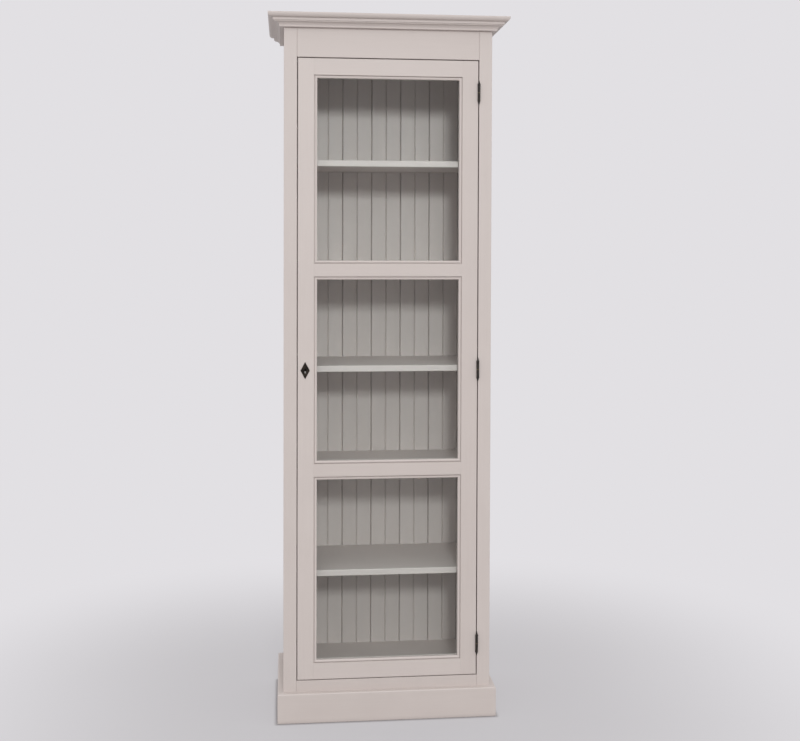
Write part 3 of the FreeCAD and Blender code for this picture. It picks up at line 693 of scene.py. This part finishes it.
def slotted_head(centre, out, radius):
    """A countersunk screw head with a straight slot, left at any angle. Each ring is its section
    across the slot at one distance from the slot's middle: as wide as the chord of the round head
    there, and lower inside the slot."""
    slot_deep, head_deep = 0.0007, 0.001
    angle = turns.uniform(0, np.pi)
    distance = radius * np.array([0.98, 0.9, 0.72, 0.45, 0.15, 0.15])
    in_slot = np.array([0, 0, 0, 0, 0, 1])
    rows = np.concatenate([-distance, distance[::-1]])
    top = -slot_deep * np.concatenate([in_slot, in_slot[::-1]])
    chord = np.sqrt(radius ** 2 - rows ** 2)
    foot = np.full(len(rows), -head_deep)
    out, up = np.asarray(out, float), np.array([0.0, 0.0, 1.0])
    first = np.cos(angle) * np.cross(up, out) + np.sin(angle) * up
    second = np.cross(out, first)
    raised = np.stack([foot, top, top, foot], axis=1)[..., None] * out
    wide = np.stack([-chord, -chord, chord, chord], axis=1)[..., None] * first
    rings = np.asarray(centre) + raised + wide + rows[:, None, None] * second
    return tube(rings, np.zeros_like(rings), 0.0)


half_hinge, seat, collar_high, finial_high = 0.023, 0.0005, 0.0025, 0.0095
knuckle, collar, neck, tip = 0.0037, 0.0040, 0.00344, 0.0007
finial_end, collar_foot = half_hinge + finial_high, half_hinge - collar_high
barrel = np.array([(0, seat), (knuckle, seat), (knuckle, collar_foot), (collar, collar_foot),
                   (collar, half_hinge), (neck, half_hinge), (tip, finial_end), (0, finial_end)])
barrel_ease = [0.0001, 0.0003, 0.0002, 0.0006, 0.0006, 0.0003, 0.0006, 0.0001]
leaf_thick, leaf_shy, leaf_arris, leaf_front = 0.0015, 0.00015, 0.0003, front + 0.0005
root_start, root_lap = 0.0005, 0.004
hinge_screw, screw_rise, screw_back = 0.0030, 0.0135, 0.0005
washer_slack, washer_ease = 0.0001, 0.0002
washer = np.array([(0, -1), (1, -1), (1, 1), (0, 1)]) * (knuckle - washer_slack, seat - washer_slack)
washers, post_heads, door_heads = [], [], []
for level in levels:
    low, high = corners_of("hinge_" + level + "_frame_leaf")
    leaf_back = high[1]
    axis = np.array([(low[0] + high[0]) / 2, low[1] + collar, high[2] - half_hinge])
    screw_deep = (front + leaf_back) / 2 + screw_back
    for hand, kind, body, heads in ((-1, "frame", "carcass", post_heads),
                                    (1, "door", "door", door_heads)):
        name = "hinge_" + level + "_" + kind
        left, right = np.sort(axis[0] - hand * np.array([leaf_shy, leaf_shy + leaf_thick]))
        foot, head = axis[2] + np.sort(hand * np.array([seat, collar_foot]))
        flange = contour(rectangle((left, leaf_front), (right, leaf_back)), leaf_arris)
        root = contour(rectangle((left, axis[1] + root_start), (right, leaf_front + root_lap)),
                       leaf_arris)
        piece(name + "_iron",
              [turned(barrel * (1, hand), barrel_ease, axis),
               sweep(flange, 2, axis[2] - half_hinge, axis[2] + half_hinge, leaf_arris),
               sweep(root, 2, foot, head, leaf_arris)],
              iron, body, "dark_metal", name + "_leaf")
        heads += [slotted_head((axis[0] - hand * leaf_shy, screw_deep, axis[2] + rise),
                               (hand, 0, 0), hinge_screw) for rise in (-screw_rise, screw_rise)]
    washers.append(turned(washer, washer_ease, axis))
piece("hinge_rings", washers, brass, "carcass", "brass", "hinge_washers")
piece("hinge_post_screws", post_heads, iron, "carcass", "dark_metal", flat=True)
piece("hinge_door_screws", door_heads, iron, "door", "dark_metal", flat=True)


# Lock. A steel cupboard lock screwed to the back of the lock stile, with a drill pin for the barrel
# of the key; its bolt shoots behind the left post, where a strike plate takes the wear.

steel = plain_metal("drawn_steel", rgb(0.58, 0.57, 0.55), rgb(0.40, 0.39, 0.375), 0.36, 2)
lock_screw, screw_in, screw_proud = 0.0024, 0.005, 0.0001


def back_screws(name, across, low, high, body):
    """Screw heads in the back of a plate: two at each place across it, near its foot and its top."""
    heads = [slotted_head((x, high[1] + screw_proud, z), (0, 1, 0), lock_screw)
             for x in across for z in (low[2] + screw_in, high[2] - screw_in)]
    piece(name, heads, steel, body, "steel", flat=True)


case_arris, bolt_arris, strike_arris = 0.0008, 0.0006, 0.0004
pin_round, pin_tip, pin_bevel, pin_root, pin_ease = 0.0023, 0.0016, 0.0004, 0.001, 0.0003
low, high = corners_of("lock_case")
case = sweep(contour(rectangle((low[0], door_back), (high[0], high[1])), case_arris),
             2, low[2], high[2], case_arris)
pin_start, pin_end = low[1], door_back + pin_root
drill_pin = turned([(0, pin_start), (pin_tip, pin_start), (pin_round, pin_start + pin_bevel),
                    (pin_round, pin_end), (0, pin_end)],
                   pin_ease, (key_middle[0], 0, key_middle[1]), axis=1)
piece("lock_box", [case, drill_pin], steel, "door", "steel", "lock_case")
back_screws("lock_box_screws", (low[0] + screw_in, high[0] - screw_in), low, high, "door")
piece("lock_bolt_bar", [plank("lock_bolt", 0, bolt_arris, bolt_arris)],
      steel, "bolt", "steel", "lock_bolt")
low, high = corners_of("strike_plate")
piece("strike", [plank("strike_plate", 2, strike_arris, strike_arris)],
      steel, "carcass", "steel", "strike_plate")
back_screws("strike_screws", [(low[0] + high[0]) / 2], low, high, "carcass")


# Escutcheon. A lozenge plate of dark iron, duller than the hinges, over the key hole; it has a
# raised rim and a dished middle whose four facets fall towards the key hole.

dull_iron = dark_iron("dull_bronzed_iron", 0.15)
plate_back = plate_high[1]
plate_thick = plate_back - plate_low[1]
edge_high, bevel_in, rim_in = 0.0008, 0.0009, 0.0026
dish_in, dish_high = 0.0032, 0.0015
lip_wide, lip_high, lip_low = 0.0006, 0.0008, 0.0006
offset = key_middle - plate_middle
rays, key_reach = key_fan(np.unique(np.concatenate([
    key_angles, bearings(four_ways * plate_half - offset)])))
slants = np.array([(1, 1), (1, -1), (-1, 1), (-1, -1)]) / plate_half
plate_edge = offset + rays * reach_to(rays, slants, 1 - slants @ offset)[:, None]
middle_to_side = plate_half.prod() / np.linalg.norm(plate_half)


def lozenge(inset, height):
    """A ring in the shape of the plate, drawn in from its edge by inset, and raised by height from
    the door."""
    flat = plate_middle + plate_edge * (1 - inset / middle_to_side)
    return np.stack([flat[:, 0], np.full(len(flat), plate_back - height), flat[:, 1]], axis=1)


rings = np.array([
    lozenge(0, 0), lozenge(0, edge_high), lozenge(bevel_in, plate_thick),
    lozenge(rim_in, plate_thick), lozenge(dish_in, dish_high),
    ring_at(rays, key_reach + lip_wide, plate_back - lip_high),
    ring_at(rays, key_reach, plate_back - lip_low), ring_at(rays, key_reach, plate_back),
    lozenge(0, 0)])
worn = np.array([0, 0, 0.45, 0.45, 0.2, 0.2, 1, 0, 0])[:, None]
plate = piece("escutcheon_plate", [tube(rings, np.zeros_like(rings), worn, ends=False)],
              dull_iron, "door", "dark_metal", "escutcheon", flat=True)
eased_edge = plate.modifiers.new("eased", "BEVEL")
eased_edge.width, eased_edge.segments, eased_edge.angle_limit = 0.0002, 2, np.radians(28)


# Floor. A pale matt disc under the cabinet, which keeps its shadow and turns into the background
# further out.

backdrop = rgb(0.76, 0.745, 0.77)
foot_low, foot_high = corners_of("plinth_left")[0], corners_of("plinth_right")[1]


def background_rays(start):
    """1 for the rays that show a background: those of the camera, of mirrors and of clear glass."""
    return start.ray_is("Camera").either(start.ray_is("Glossy")).either(start.ray_is("Transmission"))


def studio_floor():
    """Matt pale floor, mixed with an even glow in the colour of the background by the distance
    from the plinth: none where the two touch, half from a finger's width out, and all of it from two
    paces out. That glow is painted light which lifts the floor's shadow, so the floor's own shade
    shows in full only along the plinth. It throws back more of the soft light than it shows."""
    shown, thrown_back = rgb(0.42, 0.405, 0.42), rgb(0.56, 0.54, 0.54)
    finger, hand_span, two_paces = 0.012, 0.12, 1.30
    material, start = finish_for("studio_floor")
    centred = start.add("Mapping", {}, {"Vector": start.places(),
                                        "Location": -(foot_low + foot_high) / 2})
    outside = start.add("VectorMath", {"operation": "SUBTRACT"}, {
        0: start.add("VectorMath", {"operation": "ABSOLUTE"}, {0: centred}),
        1: (foot_high - foot_low) / 2})
    beyond = start.add("VectorMath", {"operation": "MAXIMUM"}, {0: outside, 1: (0.0, 0.0, 0.0)})
    away = start.add("VectorMath", {"operation": "LENGTH"}, {0: beyond}, "Value")
    # Share of an even glow in the background colour: painted light that lifts the floor's shadow.
    share = away.between(0.0, finger) * 0.5 + away.between(hand_span, two_paces) * 0.5
    matt = start.add("BsdfDiffuse", {}, {"Color": shown})
    plain = start.add("Emission", {}, {"Color": backdrop, "Strength": 1.0})
    seen = start.add("MixShader", {}, {0: share, 1: matt, 2: plain})
    bounce = start.add("BsdfDiffuse", {}, {"Color": thrown_back})
    surface = start.add("MixShader", {}, {0: background_rays(start), 1: bounce, 2: seen})
    start.add("OutputMaterial", {}, {"Surface": surface})
    return material


spokes, rims = 96, np.array([0.3, 1.0, 8.0])
angle = np.linspace(0, 2 * np.pi, spokes, endpoint=False)
disc = np.stack([np.cos(angle), np.sin(angle), np.zeros(spokes)], axis=1) * rims[:, None, None]
number = np.arange(len(rims) * spokes).reshape(len(rims), spokes)
onward = np.roll(number, -1, axis=1)
bands = np.stack([number[:-1], number[1:], onward[1:], onward[:-1]], axis=2).reshape(-1, 4)
mesh = bpy.data.meshes.new("floor")
mesh.from_pydata(disc.reshape(-1, 3), [], bands.tolist() + [number[0].tolist()])
mesh.materials.append(studio_floor())
floor = bpy.data.objects.new("floor", mesh)
bpy.context.scene.collection.objects.link(floor)


# Light. One soft lamp high in front, and a soft glow from all round that fades out below the
# horizon and falls to half overhead.

def soft_lamp(name, place, aim, size, power):
    """A square lamp at a place, turned so that it faces the aim."""
    lamp = bpy.data.lights.new(name, "AREA")
    lamp.size, lamp.energy = size, power
    made = bpy.data.objects.new(name, lamp)
    back = np.array(place, float) - np.array(aim, float)
    back /= np.linalg.norm(back)
    right = np.cross([0, 0, 1], back)
    right /= np.linalg.norm(right)
    turned_to = np.eye(4)
    turned_to[:3] = np.stack([right, np.cross(back, right), back, place], axis=1)
    made.matrix_world = Matrix(turned_to)
    bpy.context.scene.collection.objects.link(made)
    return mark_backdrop(made)


soft_lamp("key_lamp", place=(0.05, -5.12, 2.84), aim=(0, 0, 1.0), size=0.6, power=90.0)

glow_white, glow_strength, glow_fall = rgb(1.0, 0.995, 0.99), 1.07, 0.5
world = bpy.data.worlds.new("studio")
world.use_nodes = True
world.node_tree.nodes.clear()
start = Wire(world.node_tree)
upward = start.add("SeparateXYZ", {}, {0: start.add("TexCoord", {}, {}, "Generated")}, 2)
strength = upward.between(-0.2, 0.5) * (glow_strength - upward.between(0.5, 1.0) * glow_fall)
glow = start.add("Background", {}, {"Color": glow_white, "Strength": strength})
plain = start.add("Background", {}, {"Color": backdrop, "Strength": 1.0})
surface = start.add("MixShader", {}, {0: background_rays(start), 1: glow, 2: plain})
start.add("OutputWorld", {}, {"Surface": surface})
bpy.context.scene.world = world


# Camera. Stands a little to the left of the middle at chest height, 3.1 m from the door, with its
# lens shifted down so that it takes in the foot while the uprights stay parallel.

yaw, pitch, roll = 0.0992, -0.0209, 0.0030
stand = (-0.27447, -3.2030, 1.29817)
ahead = np.array([np.sin(yaw) * np.cos(pitch), np.cos(yaw) * np.cos(pitch), np.sin(pitch)])
right = np.array([np.cos(yaw), -np.sin(yaw), 0.0])
up = np.cross(right, ahead)
right, up = np.cos(roll) * right + np.sin(roll) * up, np.cos(roll) * up - np.sin(roll) * right
lens = bpy.data.cameras.new("camera")
lens.sensor_width, lens.lens, lens.shift_y = 36.0, 51.487, -0.1323
camera = bpy.data.objects.new("camera", lens)
stance = np.eye(4)
stance[:3] = np.stack([right, up, -ahead, stand], axis=1)
camera.matrix_world = Matrix(stance)
bpy.context.scene.collection.objects.link(camera)
bpy.context.scene.camera = camera
bpy.context.scene.view_settings.view_transform = "Standard"
